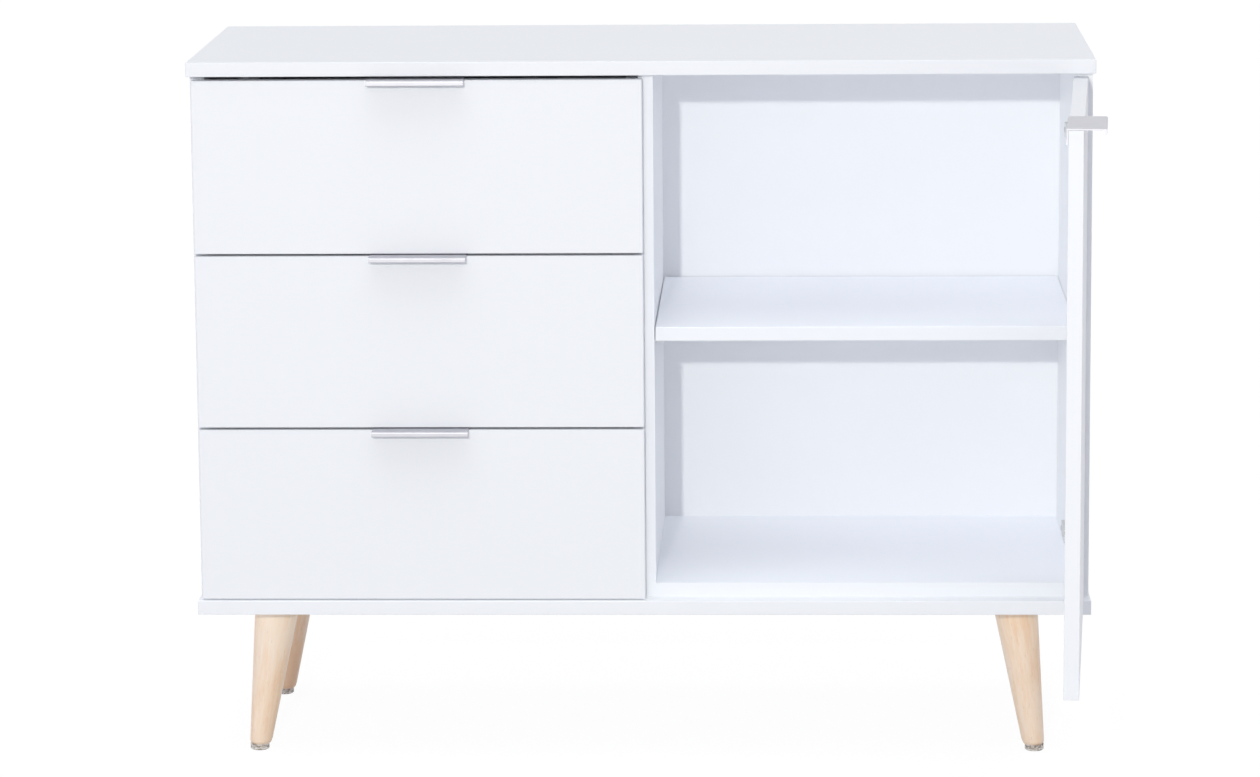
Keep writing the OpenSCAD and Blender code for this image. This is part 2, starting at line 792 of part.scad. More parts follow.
// The arm: a channel inside the cabinet whose top runs on as a strip into the cup, turns there
// towards the door's edge, and closes round the pin
module hinge_arm() {
    low_x = wall_x + plate_wing_t + seat_gap;
    top_x = neck_x + arm_t / 2;
    difference() {
        union() {
            // the channel over the mounting plate
            on_wall(low_x, top_x - low_x) translate([arm_back, -arm_w / 2])
                round_rect(arm_len, arm_w, arm_corner_r);
            // the neck, into the cup
            block([neck_x - arm_t / 2, arm_front - arm_corner_r, -nose_w / 2],
                [top_x, hinge_depth + arm_t / 2, nose_w / 2]);
            // the nose, across the cup
            block([hinge_edge, hinge_depth - arm_t / 2, -nose_w / 2],
                [top_x, hinge_depth + arm_t / 2, nose_w / 2]);
            translate([hinge_edge, hinge_depth, -nose_w / 2]) cylinder(r = knuckle_r, h = nose_w);
        }
        block([wall_x, arm_back - cut, -arm_w / 2 + arm_wall],
            [neck_x - arm_t / 2, arm_front - arm_corner_r, arm_w / 2 - arm_wall]);
        translate([hinge_edge, hinge_depth, -nose_w])
            cylinder(r = hinge_pin_r + bore_gap, h = 2 * nose_w);
        at_arm_screws() translate([-arm_t - cut, 0, 0])
            x_cylinder(arm_screw_r + bore_gap, arm_t + 2 * cut);
    }
}

// Places its child at each screw of the arm, on the channel's outer face, with +X out of the plate
module at_arm_screws() {
    for (y = arm_screw_ys) translate([neck_x + arm_t / 2, y, 0]) children();
}

module hinge_arm_screws() {
    color(zinc) at_hinges() at_arm_screws() {
        translate([-arm_t - arm_screw_l, 0, 0])
            x_cylinder(arm_screw_r, arm_t + arm_screw_l + head_h / 2);
        x_cylinder(head_r, head_h);
    }
}

module hinge_arms() {
    color(nickel) at_hinges() hinge_arm();
}

// The mounting plate: two wings that are screwed to the side, and a spine inside the arm
module mounting_plate() {
    difference() {
        union() {
            on_wall(wall_x, plate_wing_t)
                translate([plate_y - plate_wing_w / 2, -plate_screw_z - plate_wing_end])
                round_rect(plate_wing_w, 2 * (plate_screw_z + plate_wing_end), plate_wing_end);
            block([wall_x, arm_back + spine_back_gap, -plate_spine_w / 2],
                [neck_x - arm_t / 2 - seat_gap, arm_front - spine_front_gap, plate_spine_w / 2]);
        }
        at_plate_screws() translate([-cut, 0, 0])
            x_cylinder(screw_r + bore_gap, plate_wing_t + 2 * cut);
        at_arm_screws() translate([-arm_t - arm_screw_l - tip_gap, 0, 0])
            x_cylinder(arm_screw_r + bore_gap, arm_t + arm_screw_l + tip_gap);
    }
}

module hinge_mounting_plates() {
    color(nickel) at_hinges() mounting_plate();
}

// Places its child at each screw of the plate, on the side's inner face, with +X out of the board
module at_plate_screws() {
    for (s = SIDES) translate([wall_x, plate_y, s * plate_screw_z]) children();
}

// ---------------------------------------------------------------- nodes

top_panel();
base_board();
bottom_panel();
left_side();
right_side();
divider();
back_panel();
shelf();
shelf_pins();
leg([-1, -1]);  // front_left_leg
leg([1, -1]);  // front_right_leg
leg([-1, 1]);  // rear_left_leg
leg([1, 1]);  // rear_right_leg
leg_bolts();
leg_inserts();
leg_glides();
cabinet_rails(UPPER);  // upper_cabinet_rails
cabinet_rails(MIDDLE);  // middle_cabinet_rails
cabinet_rails(LOWER);  // lower_cabinet_rails
carrier_rails(UPPER);  // upper_carrier_rails
carrier_rails(MIDDLE);  // middle_carrier_rails
carrier_rails(LOWER);  // lower_carrier_rails
drawer_rails(UPPER);  // upper_drawer_rails
drawer_rails(MIDDLE);  // middle_drawer_rails
drawer_rails(LOWER);  // lower_drawer_rails
drawer_rail_screws(UPPER);  // upper_rail_screws
drawer_rail_screws(MIDDLE);  // middle_rail_screws
drawer_rail_screws(LOWER);  // lower_rail_screws
drawer_front(UPPER);  // upper_drawer_front
drawer_front(MIDDLE);  // middle_drawer_front
drawer_front(LOWER);  // lower_drawer_front
drawer_left_side(UPPER);  // upper_drawer_left_side
drawer_left_side(MIDDLE);  // middle_drawer_left_side
drawer_left_side(LOWER);  // lower_drawer_left_side
drawer_right_side(UPPER);  // upper_drawer_right_side
drawer_right_side(MIDDLE);  // middle_drawer_right_side
drawer_right_side(LOWER);  // lower_drawer_right_side
drawer_back(UPPER);  // upper_drawer_back
drawer_back(MIDDLE);  // middle_drawer_back
drawer_back(LOWER);  // lower_drawer_back
drawer_bottom(UPPER);  // upper_drawer_bottom
drawer_bottom(MIDDLE);  // middle_drawer_bottom
drawer_bottom(LOWER);  // lower_drawer_bottom
drawer_handle(UPPER);  // upper_drawer_handle
drawer_handle(MIDDLE);  // middle_drawer_handle
drawer_handle(LOWER);  // lower_drawer_handle
drawer_handle_screws(UPPER);  // upper_handle_screws
drawer_handle_screws(MIDDLE);  // middle_handle_screws
drawer_handle_screws(LOWER);  // lower_handle_screws
door_panel();
door_handle();
door_handle_screws();
hinge_cups();
hinge_pins();
hinge_cup_screws();
hinge_arms();
hinge_mounting_plates();
hinge_arm_screws();
cabinet_screws();
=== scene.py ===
"""Looks of the sideboard: materials, small hardware, studio and camera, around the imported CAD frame."""

import json
import math

import bmesh
import bpy
import numpy as np
from mathutils import Matrix, Vector

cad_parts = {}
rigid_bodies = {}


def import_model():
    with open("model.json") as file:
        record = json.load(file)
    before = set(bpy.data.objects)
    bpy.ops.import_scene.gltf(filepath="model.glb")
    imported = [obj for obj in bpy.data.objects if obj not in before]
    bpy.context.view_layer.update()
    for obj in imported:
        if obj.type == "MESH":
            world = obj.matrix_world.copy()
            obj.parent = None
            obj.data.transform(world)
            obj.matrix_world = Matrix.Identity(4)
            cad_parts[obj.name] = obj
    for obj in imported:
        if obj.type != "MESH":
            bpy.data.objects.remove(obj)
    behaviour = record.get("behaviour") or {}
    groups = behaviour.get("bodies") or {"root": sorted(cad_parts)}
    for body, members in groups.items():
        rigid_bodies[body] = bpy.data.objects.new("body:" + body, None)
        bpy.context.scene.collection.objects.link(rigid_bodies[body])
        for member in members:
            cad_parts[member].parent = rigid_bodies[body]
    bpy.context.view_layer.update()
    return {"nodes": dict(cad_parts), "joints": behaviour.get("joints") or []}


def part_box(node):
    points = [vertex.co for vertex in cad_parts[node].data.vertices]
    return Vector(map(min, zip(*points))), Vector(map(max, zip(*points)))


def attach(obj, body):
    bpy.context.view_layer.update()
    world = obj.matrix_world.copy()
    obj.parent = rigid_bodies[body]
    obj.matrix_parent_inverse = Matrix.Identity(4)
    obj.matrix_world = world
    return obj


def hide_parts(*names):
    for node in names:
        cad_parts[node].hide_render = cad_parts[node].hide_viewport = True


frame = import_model()

NODES = frame["nodes"]
DRAWERS = ("upper", "middle", "lower")
MM = 0.001


# ---------------------------------------------------------------- shader graphs

class Graph:
    """A material's node tree, with one short call for each kind of node."""

    def __init__(self, name):
        self.material = bpy.data.materials.new(name)
        self.material.use_nodes = True
        self.tree = self.material.node_tree
        self.tree.nodes.clear()
        self.out = self.tree.nodes.new("ShaderNodeOutputMaterial")
        self.coord = self.tree.nodes.new("ShaderNodeTexCoord")

    def put(self, socket, value):
        """Links value to the socket if it is a socket, and sets it otherwise."""
        if isinstance(value, bpy.types.NodeSocket):
            self.tree.links.new(value, socket)
        else:
            socket.default_value = value

    def node(self, kind, inputs=None, **settings):
        """A new node of this kind: inputs has its sockets' values or links, settings its properties."""
        made = self.tree.nodes.new(kind)
        for key, value in settings.items():
            setattr(made, key, value)
        for key, value in (inputs or {}).items():
            self.put(made.inputs[key], value)
        return made

    def math(self, operation, a, b=0.0, c=0.0, clamp=False):
        made = self.node("ShaderNodeMath", operation=operation, use_clamp=clamp)
        for socket, value in zip(made.inputs, (a, b, c)):
            self.put(socket, value)
        return made.outputs[0]

    def vector(self, operation, a, b=(0, 0, 0)):
        made = self.node("ShaderNodeVectorMath", operation=operation)
        self.put(made.inputs[0], a)
        self.put(made.inputs[1], b)
        return made.outputs["Vector"]

    def split(self, vector):
        return self.node("ShaderNodeSeparateXYZ", {"Vector": vector}).outputs

    def mapped(self, scale=(1, 1, 1), rotation=(0, 0, 0), location=(0, 0, 0), source=None):
        return self.node("ShaderNodeMapping", {
            "Vector": source or self.coord.outputs["Object"],
            "Location": location, "Rotation": rotation, "Scale": scale}).outputs["Vector"]

    def noise(self, vector, scale, detail=3.0, roughness=0.5, distortion=0.0):
        return self.node("ShaderNodeTexNoise", {
            "Vector": vector, "Scale": scale, "Detail": detail,
            "Roughness": roughness, "Distortion": distortion}).outputs["Fac"]

    def remap(self, value, low, high, to_low, to_high):
        return self.node("ShaderNodeMapRange", {
            "Value": value, "From Min": low, "From Max": high,
            "To Min": to_low, "To Max": to_high}).outputs["Result"]

    def mix(self, factor, a, b):
        """a where factor is 0, b where it is 1. Sockets 6 and 7 are the colours of the mix node."""
        made = self.node("ShaderNodeMix", data_type="RGBA")
        self.put(made.inputs[0], factor)
        self.put(made.inputs[6], a)
        self.put(made.inputs[7], b)
        return made.outputs[2]

    def ramp(self, value, *stops):
        made = self.node("ShaderNodeValToRGB", {"Fac": value})
        elements = made.color_ramp.elements
        while len(elements) < len(stops):
            elements.new(0.5)
        for element, (place, colour) in zip(elements, stops):
            element.position = place
            element.color = (*colour, 1)
        return made.outputs["Color"]

    def bump(self, height, strength, distance):
        inputs = {"Height": height, "Strength": strength, "Distance": distance}
        return self.node("ShaderNodeBump", inputs).outputs["Normal"]

    def surface(self, **inputs):
        """The finished material, from a Principled shader with these inputs."""
        shader = self.node("ShaderNodeBsdfPrincipled")
        for key, value in inputs.items():
            self.put(shader.inputs[key.replace("_", " ")], value)
        self.tree.links.new(shader.outputs[0], self.out.inputs["Surface"])
        return self.material


def rgb(*values):
    return (*values, 1.0)


WHITE = (0.873, 0.893, 0.930)      # of the melamine and of the hardboard's lacquered face


def melamine(name, low, high, turn=0.0, about=(0, 0, 0)):
    """White melamine board with a fine pearl finish and a plastic edging whose joint shows as a hairline.
    low and high are the corners of the board before it turned by turn round the upright axis at about."""
    g = Graph(name)
    low, high = Vector(low), Vector(high)
    middle = (low + high) / 2
    half = (high - low) / 2
    thin = min(range(3), key=lambda k: half[k])
    wide = [k for k in range(3) if k != thin]
    place = g.vector("SUBTRACT", g.coord.outputs["Object"], tuple(about))
    place = g.mapped(rotation=(0, 0, -turn), source=place)
    place = g.vector("SUBTRACT", place, tuple(middle - Vector(about)))
    axes = g.split(g.vector("ABSOLUTE", place))
    reach = [g.math("SUBTRACT", half[k], axes[k]) for k in wide]
    inset = g.math("MINIMUM", *reach)
    edging = 1.0 * MM
    seam = g.math("COMPARE", inset, edging + 0.05 * MM, 0.12 * MM)
    on_face = g.math("LESS_THAN", g.math("SUBTRACT", half[thin], axes[thin]), 0.02 * MM)
    seam = g.math("MULTIPLY", seam, on_face)
    band = g.math("SUBTRACT", 1.0, g.math("GREATER_THAN", inset, edging))
    pearl = g.noise(place, 1500.0, detail=2.0)
    peel = g.noise(place, 260.0, detail=3.0)
    cloud = g.noise(place, 5.0, detail=2.0)
    colour = g.ramp(cloud, (0.3, tuple(c * 0.994 for c in WHITE)), (0.7, WHITE))
    colour = g.mix(g.math("MULTIPLY", seam, 0.30), colour, rgb(0.50, 0.49, 0.47))
    rough = g.math("ADD", g.remap(peel, 0.3, 0.7, 0.40, 0.48), g.math("MULTIPLY", band, -0.08))
    fine = g.math("MULTIPLY", pearl, g.math("SUBTRACT", 1.0, g.math("MULTIPLY", band, 0.7)))
    height = g.math("ADD", fine, g.math("MULTIPLY", peel, 0.5))
    height = g.math("SUBTRACT", height, g.math("MULTIPLY", seam, 1.5))
    normal = g.bump(height, 0.12, 0.10 * MM)
    return g.surface(Base_Color=colour, Roughness=rough, Normal=normal, IOR=1.48)


def hardboard():
    """Hardboard: lacquered white on its smooth face, bare brown fibre with a mesh print on its back."""
    g = Graph("hardboard")
    place = g.coord.outputs["Object"]
    facing = g.split(g.coord.outputs["Normal"])
    bare = g.math("MAXIMUM", g.math("GREATER_THAN", facing[1], 0.5), g.math("LESS_THAN", facing[2], -0.5))
    fibre = g.noise(g.mapped(scale=(1.0, 1.0, 1.6)), 420.0, detail=5.0, roughness=0.7)
    flock = g.noise(place, 75.0, detail=5.0, roughness=0.65)
    browns = ((0.25, (0.200, 0.122, 0.066)), (0.5, (0.300, 0.192, 0.108)), (0.8, (0.390, 0.262, 0.155)))
    brown = g.ramp(fibre, *browns)
    brown = g.mix(g.remap(flock, 0.38, 0.62, 0.0, 0.75), brown, rgb(0.385, 0.262, 0.155))
    white = g.ramp(g.noise(place, 7.0), (0.3, (0.862, 0.884, 0.922)), (0.7, WHITE))
    colour = g.mix(bare, white, brown)
    rough = g.mix(bare, rgb(0.42, 0.42, 0.42), rgb(0.85, 0.85, 0.85))
    weave = 2600.0          # radians per metre: the press's mesh leaves a print that repeats every 2.4 mm
    print_x = g.math("SINE", g.math("MULTIPLY", g.split(place)[0], weave))
    print_z = g.math("SINE", g.math("MULTIPLY", g.math("ADD", g.split(place)[2], g.split(place)[1]), weave))
    mesh = g.math("MULTIPLY", g.math("MULTIPLY", print_x, print_z), bare)
    height = g.math("ADD", g.math("MULTIPLY", fibre, 0.6), g.math("MULTIPLY", mesh, 0.35))
    strength = g.math("ADD", 0.05, g.math("MULTIPLY", bare, 0.30))
    return g.surface(Base_Color=colour, Roughness=rough, Normal=g.bump(height, strength, 0.15 * MM))


def beech(name, axis, foot, seed, shade):
    """Pale beech turned along axis: a broad warm drift, fine straight grain and short dark flecks, lacquered.
    shade darkens and reddens the wood: on the rear legs it is painted shade for the shadow under the cabinet,
    on the front right leg a slight difference of tone."""
    g = Graph(name)
    upright = Vector(axis).rotation_difference(Vector((0, 0, 1))).to_euler()
    place = g.vector("SUBTRACT", g.coord.outputs["Object"], tuple(foot))
    place = g.mapped(rotation=tuple(upright), location=(seed * 0.37, seed * 0.21, seed * 0.53), source=place)
    drift = g.noise(g.mapped(scale=(1, 1, 0.30), source=place), 26.0, detail=2.0)
    streak = g.noise(g.mapped(scale=(1, 1, 0.045), source=place), 230.0, detail=4.0, roughness=0.55)
    fine = g.noise(g.mapped(scale=(1, 1, 0.025), source=place), 1300.0, detail=3.0, roughness=0.6)
    tone = g.math("ADD", g.math("MULTIPLY", drift, 0.48), g.math("MULTIPLY", streak, 0.30))
    tone = g.math("ADD", tone, g.math("MULTIPLY", fine, 0.22))
    # painted shade: shade darkens and reddens the tone, most on the rear legs that stand in the cabinet's
    # shadow
    tone = g.math("SUBTRACT", tone, shade)
    woods = ((0.38, (0.875, 0.610, 0.400)), (0.50, (0.925, 0.735, 0.560)), (0.62, (0.940, 0.800, 0.660)))
    colour = g.ramp(tone, *woods)
    cells = g.node("ShaderNodeTexVoronoi", {
        "Vector": g.mapped(scale=(1, 1, 0.16), source=place), "Scale": 480.0}, feature="F1")
    fleck = g.math("LESS_THAN", cells.outputs["Distance"], 0.17)
    fleck = g.math("MULTIPLY", fleck, g.math("GREATER_THAN", g.split(cells.outputs["Color"])[0], 0.55))
    colour = g.mix(g.math("MULTIPLY", fleck, 0.34), colour, rgb(0.600, 0.390, 0.240))
    height = g.math("SUBTRACT", g.math("MULTIPLY", fine, 0.8), g.math("MULTIPLY", fleck, 0.5))
    normal = g.bump(height, 0.08, 0.12 * MM)
    rough = g.remap(streak, 0.3, 0.7, 0.36, 0.46)
    return g.surface(Base_Color=colour, Roughness=rough, Normal=normal, Coat_Weight=0.25, Coat_Roughness=0.22)


def metal(name, colour, rough, grain=(1, 1, 1), depth=0.05, spots=0.0, turn=0.0):
    """Metal with a fine grain along the axis that grain stretches, and faint blotches of plating."""
    g = Graph(name)
    place = g.mapped(rotation=(0, 0, -turn))
    lines = g.noise(g.mapped(scale=grain, source=place), 2200.0, detail=3.0, roughness=0.6)
    blot = g.noise(place, 90.0, detail=4.0, roughness=0.6)
    dark = tuple(c * (1 - 0.10 - spots) for c in colour)
    patches = g.math("ADD", g.math("MULTIPLY", lines, 0.45), g.math("MULTIPLY", blot, 0.55))
    tone = g.ramp(patches, (0.3, dark), (0.65, colour))
    roughness = g.remap(lines, 0.3, 0.7, rough - 0.05, rough + 0.07)
    normal = g.bump(lines, depth, 0.05 * MM)
    return g.surface(Base_Color=tone, Metallic=1.0, Roughness=roughness, Normal=normal)


def clear_plastic():
    """Milky see-through plastic, with the wood and the nail behind it showing as darker clouds."""
    g = Graph("glide_plastic")
    place = g.coord.outputs["Object"]
    squat = g.mapped(scale=(1, 1, 1.8), source=place)
    cloud = g.noise(squat, 190.0, detail=3.0, roughness=0.6, distortion=0.6)
    grain = g.noise(place, 1500.0, detail=2.0)
    tone = g.ramp(cloud, (0.40, (0.26, 0.22, 0.18)), (0.56, (0.74, 0.72, 0.68)))
    return g.surface(Base_Color=tone, Roughness=g.remap(grain, 0.3, 0.7, 0.12, 0.22),
                     Normal=g.bump(cloud, 0.35, 0.5 * MM), Transmission_Weight=0.30, IOR=1.49)


def dress(material, *names):
    """Gives a material to CAD nodes or new pieces."""
    for name in names:
        thing = NODES[name] if isinstance(name, str) else name
        thing.data.materials.clear()
        thing.data.materials.append(material)


# ---------------------------------------------------------------- the door's angle

hinge = next(j for j in frame["joints"] if j["name"] == "door_hinge")
axis_point = Vector(hinge["pos_m"])
open_angle = -math.radians(hinge["range_deg"][0])
closing = Matrix.Rotation(-open_angle, 4, "Z")


def shut(point):
    """Where a point of the open door lies when the door is shut."""
    return axis_point + closing @ (Vector(point) - axis_point)


def corners(points):
    """The low and the high corner of the box round some points."""
    return (Vector(map(min, zip(*points))), Vector(map(max, zip(*points))))


# ---------------------------------------------------------------- board materials

for name in ("top_panel", "base_board", "bottom_panel", "left_side", "right_side", "divider", "shelf"):
    dress(melamine(name + "_melamine", *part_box(name)), name)
for drawer in DRAWERS:
    for part in ("front", "left_side", "right_side", "back"):
        name = drawer + "_drawer_" + part
        dress(melamine(name + "_melamine", *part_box(name)), name)
door_low, door_high = corners([shut(v.co) for v in NODES["door_panel"].data.vertices])
dress(melamine("door_melamine", door_low, door_high, turn=open_angle, about=axis_point), "door_panel")
dress(hardboard(), "back_panel", *(d + "_drawer_bottom" for d in DRAWERS))


def centre(points):
    """The middle of the box round an array of points."""
    return Vector((points.min(0) + points.max(0)) / 2)


# Each leg's shade: the rear legs' larger values are painted shade for the shadow under the cabinet.
LEGS = (("front_left_leg", 0.0), ("front_right_leg", 0.01), ("rear_left_leg", 0.08), ("rear_right_leg", 0.05))
for seed, (name, shade) in enumerate(LEGS):
    points = np.array([v.co for v in NODES[name].data.vertices])
    top = points[points[:, 2] > points[:, 2].max() - MM]
    low = points[points[:, 2] < points[:, 2].min() + 8 * MM]
    dress(beech(name + "_beech", centre(top) - centre(low), centre(low), seed + 1, shade), name)

ALUMINIUM = (0.54, 0.54, 0.59)
ZINC = (0.66, 0.68, 0.71)
NICKEL = (0.70, 0.69, 0.66)
BRUSHED = dict(colour=ALUMINIUM, rough=0.46, grain=(0.02, 1, 1), depth=0.04)
dress(metal("aluminium", **BRUSHED), *(d + "_drawer_handle" for d in DRAWERS))
dress(metal("door_aluminium", turn=open_angle, **BRUSHED), "door_handle")
zinc = metal("zinc", ZINC, 0.36, grain=(1, 0.05, 1), depth=0.05, spots=0.08)
dress(zinc, *(d + "_" + r + "_rails" for d in DRAWERS for r in ("cabinet", "carrier", "drawer")))
dress(zinc, "leg_bolts", "leg_inserts", "hinge_pins")
nickel = metal("nickel", NICKEL, 0.26, grain=(1, 1, 0.2), depth=0.03, spots=0.03)
dress(nickel, "shelf_pins", "hinge_cups", "hinge_arms", "hinge_mounting_plates")
dress(clear_plastic(), "leg_glides")


# ---------------------------------------------------------------- small hardware

def solids_of(name):
    """The separate solids of a CAD node, each as an array of points. Faces that share a point are one."""
    mesh = NODES[name].data
    points = np.array([v.co for v in mesh.vertices])
    keys, index = np.unique(np.round(points, 6), axis=0, return_inverse=True)
    index = index.reshape(-1)
    parent = list(range(len(keys)))

    def root(k):
        while parent[k] != k:
            parent[k] = parent[parent[k]]
            k = parent[k]
        return k

    for polygon in mesh.polygons:
        first, *rest = (root(index[v]) for v in polygon.vertices)
        for other in rest:
            parent[root(other)] = root(first)
    groups = {}
    for k in range(len(keys)):
        groups.setdefault(root(k), []).append(keys[k])
    return [np.array(g) for g in groups.values()]


def screw_mesh(made, place, head_r, head_h, shank_r, length):
    """Adds a pan-head cross screw to a bmesh, placed by a matrix: the head above Z = 0, the shank below."""
    around, rings = 40, 9
    # the cross: half its length, half its width, and its depth
    arm, slot, deep = 0.62 * head_r, 0.15 * head_r, 0.62 * head_h
    rows = []
    for k in range(rings + 1):
        r = head_r * k / rings
        ring = []
        for j in range(around if k else 1):
            angle = 2 * math.pi * j / around
            x, y = r * math.cos(angle), r * math.sin(angle)
            z = head_h * (1 - 0.35 * (r / head_r) ** 2 - 0.65 * max(0.0, (r / head_r - 0.8) / 0.2) ** 2.2)
            inside = max((arm - abs(x)) if abs(y) < slot else -1, (arm - abs(y)) if abs(x) < slot else -1)
            if inside > 0:
                z -= deep * min(1.0, inside / (0.45 * arm))
            ring.append(made.verts.new(place @ Vector((x, y, z))))
        rows.append(ring)
    for r, z in ((head_r, 0.0), (shank_r, 0.0), (shank_r, -0.86 * length), (0.15 * shank_r, -length)):
        rows.append([made.verts.new(place @ Vector((r * math.cos(a), r * math.sin(a), z)))
                     for a in (2 * math.pi * j / around for j in range(around))])
    tip = [made.verts.new(place @ Vector((0, 0, -length)))]
    rows.append(tip)
    for inner, outer in zip(rows, rows[1:]):
        for j in range(around):
            k = (j + 1) % around
            if len(inner) == 1:
                made.faces.new((inner[0], outer[j], outer[k]))
            elif len(outer) == 1:
                made.faces.new((inner[j], outer[0], inner[k]))
            else:
                made.faces.new((inner[j], outer[j], outer[k], inner[k]))


def finished(name, made, material, body):
    """Turns a bmesh into a piece that rides on a body."""
    bmesh.ops.recalc_face_normals(made, faces=made.faces)
    mesh = bpy.data.meshes.new(name)
    made.to_mesh(mesh)
    made.free()
    piece = bpy.data.objects.new(name, mesh)
    bpy.context.scene.collection.objects.link(piece)
    for polygon in mesh.polygons:
        polygon.use_smooth = True
    mesh.set_sharp_from_angle(angle=math.radians(38))
    mesh.materials.append(material)
    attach(piece, body)
    return piece


def screws(node, body, material, along, on_door=False):
    """Cross-head screws in place of a CAD node's plain ones. along is the axis, X or Y, that they lie on
    when the door is shut. Each one's wide end is its head."""
    made = bmesh.new()
    for number, points in enumerate(solids_of(node)):
        if on_door:
            points = np.array([shut(p) for p in points])
        low, high = points.min(0), points.max(0)
        axis = "XYZ".index(along)
        spread = lambda end: np.ptp(points[np.abs(points[:, axis] - end) < 0.2 * MM], axis=0).max()
        out = 1 if spread(high[axis]) > spread(low[axis]) else -1
        centre = Vector((low + high) / 2)
        head_end = high[axis] if out > 0 else low[axis]
        length = high[axis] - low[axis]
        head_r = max(high[k] - low[k] for k in range(3) if k != axis) / 2
        near = points[np.abs(points[:, axis] - (low[axis] if out > 0 else high[axis])) < 0.2 * MM]
        shank_r = max(np.ptp(near, axis=0)) / 2
        planes = np.unique(np.round(np.abs(points[:, axis] - head_end), 5))
        head_h = float(planes[planes > 0.3 * MM].min())        # the head's underside, past its eased edge
        under = centre.copy()
        under[axis] = head_end - out * head_h
        direction = Vector([out if k == axis else 0 for k in range(3)])
        turn = Vector((0, 0, 1)).rotation_difference(direction).to_matrix().to_4x4()
        driven = Matrix.Rotation(0.7 * number + 0.3, 4, "Z")   # each cross stops at another angle
        place = Matrix.Translation(under) @ turn @ driven
        if on_door:
            reopen = Matrix.Translation(axis_point) @ closing.inverted() @ Matrix.Translation(-axis_point)
            place = reopen @ place
        screw_mesh(made, place, head_r, head_h, shank_r, length - head_h)
    piece = finished(node + "_cross", made, material, body)
    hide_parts(node)


bright = metal("screw_zinc", (0.72, 0.73, 0.75), 0.28, grain=(1, 1, 1), depth=0.03, spots=0.05)
for drawer in DRAWERS:
    screws(drawer + "_handle_screws", drawer + "_drawer", bright, "Y")
    screws(drawer + "_rail_screws", drawer + "_drawer", bright, "X")
screws("cabinet_screws", "carcass", bright, "X")
screws("hinge_arm_screws", "carcass", bright, "X")
screws("door_handle_screws", "door", bright, "Y", on_door=True)
screws("hinge_cup_screws", "door", nickel, "Y", on_door=True)


def nail_heads():
    """The pins that hold the back panel to the sides, the cabinet floor and the divider."""
    low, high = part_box("back_panel")
    floor_low, floor_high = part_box("bottom_panel")
    left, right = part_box("left_side"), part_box("right_side")
    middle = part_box("divider")
    spots = []
    end_gap, per_upright, floor_steps = 25 * MM, 7, 10
    for board in (left, middle, right):
        x = (board[0].x + board[1].x) / 2
        for k in range(per_upright):
            spots.append((x, low.z + end_gap + (high.z - low.z - 2 * end_gap) * k / (per_upright - 1)))
    for k in range(1, floor_steps):
        if k != floor_steps // 2:
            x = left[1].x + (right[0].x - left[1].x) * k / floor_steps
            spots.append((x, (floor_low.z + floor_high.z) / 2))
    made = bmesh.new()
    around = 20
    profile = ((0.0, 0.55), (1.1, 0.5), (1.8, 0.3), (2.0, -0.3))   # radius, height over the back, in mm
    for x, z in spots:
        rows = []
        for r, h in profile:
            rows.append([made.verts.new((x + r * MM * math.cos(a), high.y + h * MM, z + r * MM * math.sin(a)))
                         for a in (2 * math.pi * j / around for j in range(around if r else 1))])
        for inner, outer in zip(rows, rows[1:]):
            for j in range(around):
                k = (j + 1) % around
                if len(inner) == 1:
                    made.faces.new((inner[0], outer[j], outer[k]))
                else:
                    made.faces.new((inner[j], outer[j], outer[k], inner[k]))
        made.faces.new(rows[-1])
    finished("back_nail_heads", made, bright, "carcass")


nail_heads()


# ---------------------------------------------------------------- studio

def floor():
    """A white floor that keeps the part's shadow: mostly glow where it is seen, paper to the other rays."""
    made = bmesh.new()
    reach, behind = 14.0, 4.0          # half the floor's width, and how far its middle lies behind the part
    square = ((-1, -1), (1, -1), (1, 1), (-1, 1))
    verts = [made.verts.new((x * reach, y * reach + behind, 0.0)) for x, y in square]
    made.faces.new(verts)
    mesh = bpy.data.meshes.new("floor")
    made.to_mesh(mesh)
    made.free()
    ground = bpy.data.objects.new("floor", mesh)
    bpy.context.scene.collection.objects.link(ground)
    g = Graph("floor_white")
    rays = g.node("ShaderNodeLightPath").outputs
    seen = g.math("ADD", rays["Is Camera Ray"], rays["Is Glossy Ray"])
    seen = g.math("ADD", seen, rays["Is Transmission Ray"], clamp=True)
    paper = g.node("ShaderNodeBsdfDiffuse", {"Color": rgb(0.82, 0.82, 0.82)})
    glow = g.node("ShaderNodeEmission", {"Color": rgb(1, 1, 1), "Strength": 1.06})
    glowing = g.math("MULTIPLY", seen, 0.88)
    mixed = g.node("ShaderNodeMixShader", {0: glowing, 1: paper.outputs[0], 2: glow.outputs[0]})
    g.tree.links.new(mixed.outputs[0], g.out.inputs["Surface"])
    mesh.materials.append(g.material)


floor()

# The world is white where it is seen or mirrored, and an even pale sky to everything else.
SKY = (0.435, 0.430, 0.505)
scene = bpy.context.scene
world = bpy.data.worlds.new("studio")
scene.world = world
world.use_nodes = True
tree = world.node_tree
tree.nodes.clear()
sky_out = tree.nodes.new("ShaderNodeOutputWorld")
rays = tree.nodes.new("ShaderNodeLightPath").outputs
seen = rays["Is Camera Ray"]
for kind in ("Is Glossy Ray", "Is Transmission Ray"):
    either = tree.nodes.new("ShaderNodeMath")
    either.operation = "ADD"
    either.use_clamp = True
    tree.links.new(seen, either.inputs[0])
    tree.links.new(rays[kind], either.inputs[1])
    seen = either.outputs[0]
shades = []
for colour in ((*SKY, 1), (1, 1, 1, 1)):
    shade = tree.nodes.new("ShaderNodeBackground")
    shade.inputs["Color"].default_value = colour
    shade.inputs["Strength"].default_value = 1.0
    shades.append(shade)
both = tree.nodes.new("ShaderNodeMixShader")
tree.links.new(seen, both.inputs[0])
tree.links.new(shades[0].outputs[0], both.inputs[1])
tree.links.new(shades[1].outputs[0], both.inputs[2])
tree.links.new(both.outputs[0], sky_out.inputs["Surface"])

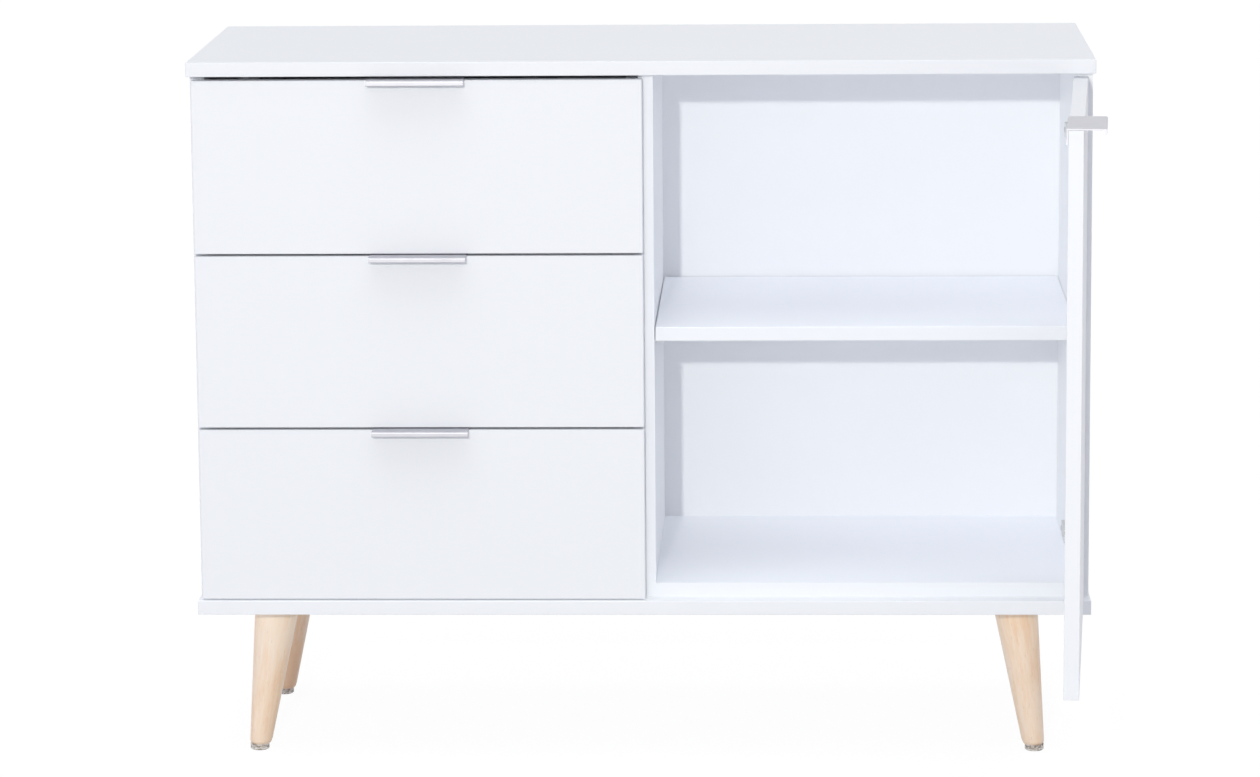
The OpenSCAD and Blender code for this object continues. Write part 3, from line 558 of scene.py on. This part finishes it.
# The key is a small lamp near the camera. KEY is its light on the front in red, green and blue.
KEY = (1.01, 1.00, 0.92)
top_low, top_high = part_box("top_panel")
front_edge = Vector(((top_low.x + top_high.x) / 2, top_low.y, top_high.z))   # middle of the top's front edge
key_reach = Vector((-0.343, -6.176, 1.172))                                  # from there to the lamp
bulb = bpy.data.lights.new("key", "POINT")
bulb.shadow_soft_size = 0.05
bulb.energy = 4 * math.pi * key_reach.length_squared * max(KEY)
bulb.color = tuple(c / max(KEY) for c in KEY)
lamp = bpy.data.objects.new("key", bulb)
lamp.location = front_edge + key_reach
scene.collection.objects.link(lamp)

MOVERS = ("drawer", "door", "hinge_cup")
INSIDE = ("divider", "shelf", "back", "right_side", "bottom_panel", "hinge")
REAR = ("rear_left_leg", "rear_right_leg", "leg_glides")
# Each row: name, degrees left of the front, degrees up, width in degrees, light in red, green and blue.
# The room's own light fills what the others leave dark: the row adds what it reaches and what holds it back.
LAMPS = (
    ("top", 0, 84, 60, (1.11, 1.15, 1.02), None, None),
    ("room_left", 40, 12, 50, (0.88, 0.87, 0.81), ("right_side",), MOVERS),
    ("room_right", -65, 15, 50, (0.28, 0.26, 0.23), INSIDE, MOVERS),
    ("room_top", 0, 80, 60, (0.71, 0.73, 0.80), INSIDE, MOVERS),
    ("room_legs", 60, 15, 50, (0.31, 0.35, 0.42), ("leg",), MOVERS),
    ("room_rear_legs", 0, 10, 50, (0.36, 0.24, 0.17), REAR, MOVERS),
    ("room_base", 0, 84, 40, (0.44, 0.44, 0.43), ("base_board",), ("door",)),
)


def gather(name, words, but=()):
    """A collection of the pieces with one of these words in their names, and none of the words in but."""
    has = lambda piece, some: any(word in piece.name for word in some)
    held = bpy.data.collections.new(name)
    for piece in scene.objects:
        if piece.type == "MESH" and has(piece, words) and not has(piece, but):
            held.objects.link(piece)
    return held


for name, side, height, width, light, reaches, stops in LAMPS:
    sun = bpy.data.lights.new(name, "SUN")
    sun.energy = max(light)
    sun.color = tuple(c / max(light) for c in light)
    sun.angle = math.radians(width)
    lamp = bpy.data.objects.new(name, sun)
    scene.collection.objects.link(lamp)
    if reaches:
        lamp.light_linking.receiver_collection = gather(name + "_reaches", reaches, but=MOVERS)
        lamp.light_linking.blocker_collection = gather(name + "_stops", stops)
        sun.cycles.use_multiple_importance_sampling = False
    side, height = math.radians(side), math.radians(height)
    beam = Vector((math.sin(side) * math.cos(height), math.cos(side) * math.cos(height), -math.sin(height)))
    lamp.rotation_euler = beam.to_track_quat("-Z", "Y").to_euler()

# ---------------------------------------------------------------- camera

# where the camera stands, in metres from the top's front edge, and how it is turned, in degrees
EYE_REACH = Vector((0.17401, -5.20325, 0.55999))
PITCH, YAW, ROLL = 10.0702, -2.0560, -0.4423
camera = bpy.data.cameras.new("camera")
camera.sensor_width = 36.0
camera.lens = 136.145
eye = bpy.data.objects.new("camera", camera)
scene.collection.objects.link(eye)
scene.camera = eye
pitch, yaw, roll = (math.radians(a) for a in (PITCH, YAW, ROLL))
ahead = Vector((math.sin(yaw) * math.cos(pitch), math.cos(yaw) * math.cos(pitch), -math.sin(pitch)))
across = Vector((math.cos(yaw), -math.sin(yaw), 0))
above = across.cross(ahead)
right = across * math.cos(roll) + above * math.sin(roll)
up = above * math.cos(roll) - across * math.sin(roll)
place = Matrix.Translation(front_edge + EYE_REACH)
eye.matrix_world = place @ Matrix((right, up, -ahead)).transposed().to_4x4()

scene.view_settings.view_transform = "Standard"
